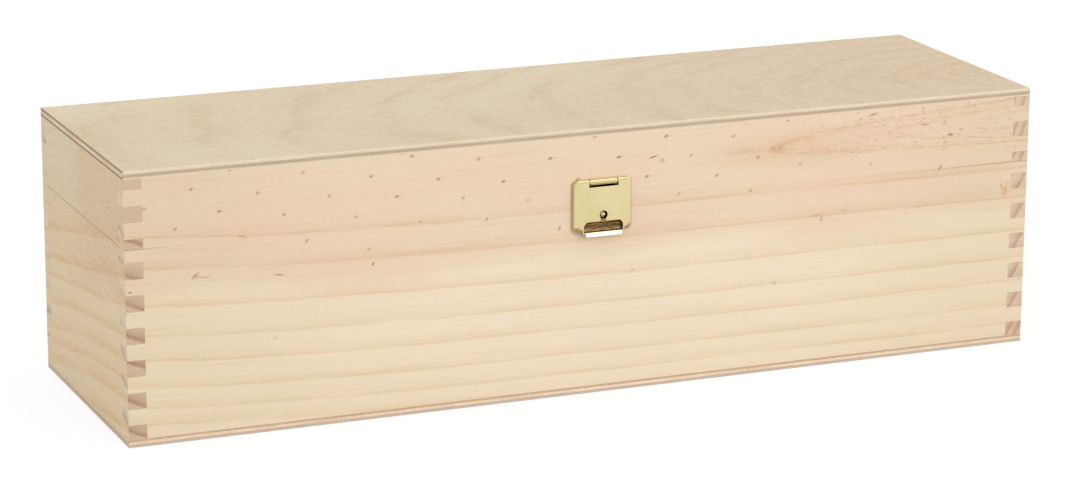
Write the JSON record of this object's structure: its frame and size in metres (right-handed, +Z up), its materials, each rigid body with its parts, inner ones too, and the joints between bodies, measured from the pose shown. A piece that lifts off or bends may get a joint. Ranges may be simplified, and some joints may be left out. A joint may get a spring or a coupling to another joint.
{
  "type": "wooden wine box",
  "caption": "Long finger-jointed pine box with plywood top and bottom, rear-hinged lid and a pressed brass snap clasp at the front.",
  "frame": {"origin": "middle of the underside", "axes": "+X along the length, to the right as seen from the front; the clasp faces -Y; +Z up"},
  "size_m": [0.364, 0.1141, 0.102],
  "materials": {
    "pine_face": "planed pine, unfinished",
    "pine_end": "planed pine, unfinished",
    "birch_veneer": "sanded birch veneer",
    "birch_core": "raw cross-grained core",
    "brass": "polished, pale"
  },
  "bodies": {
    "base": {"base_front_wall": "pine_face", "base_back_wall": "pine_face", "base_left_end": "pine_end", "base_right_end": "pine_end", "base_panel_inner_veneer": "birch_veneer", "base_panel_core": "birch_core", "base_panel_outer_veneer": "birch_veneer", "clasp_keeper": "brass", "clasp_keeper_nails": "brass", "left_hinge_base_leaf": "brass", "left_hinge_pin": "brass", "right_hinge_base_leaf": "brass", "right_hinge_pin": "brass", "hinge_base_nails": "brass"},
    "lid": {"lid_front_rail": "pine_face", "lid_back_rail": "pine_face", "lid_left_rail": "pine_end", "lid_right_rail": "pine_end", "lid_panel_inner_veneer": "birch_veneer", "lid_panel_core": "birch_core", "lid_panel_outer_veneer": "birch_veneer", "clasp_lid_plate": "brass", "clasp_lid_nails": "brass", "clasp_pin": "brass", "left_hinge_lid_leaf": "brass", "right_hinge_lid_leaf": "brass", "hinge_lid_nails": "brass"},
    "flap": {"clasp_flap": "brass"}
  },
  "joints": [
    {"name": "lid_hinge", "type": "hinge", "parent": "base", "child": "lid", "pos_m": [0, 0.0551, 0.0732], "axis": [-1, 0, 0], "range_deg": [0, 180]},
    {"name": "clasp_hinge", "type": "hinge", "parent": "lid", "child": "flap", "pos_m": [0.0012, -0.055, 0.0818], "axis": [-1, 0, 0], "range_deg": [0, 170]}
  ]
}
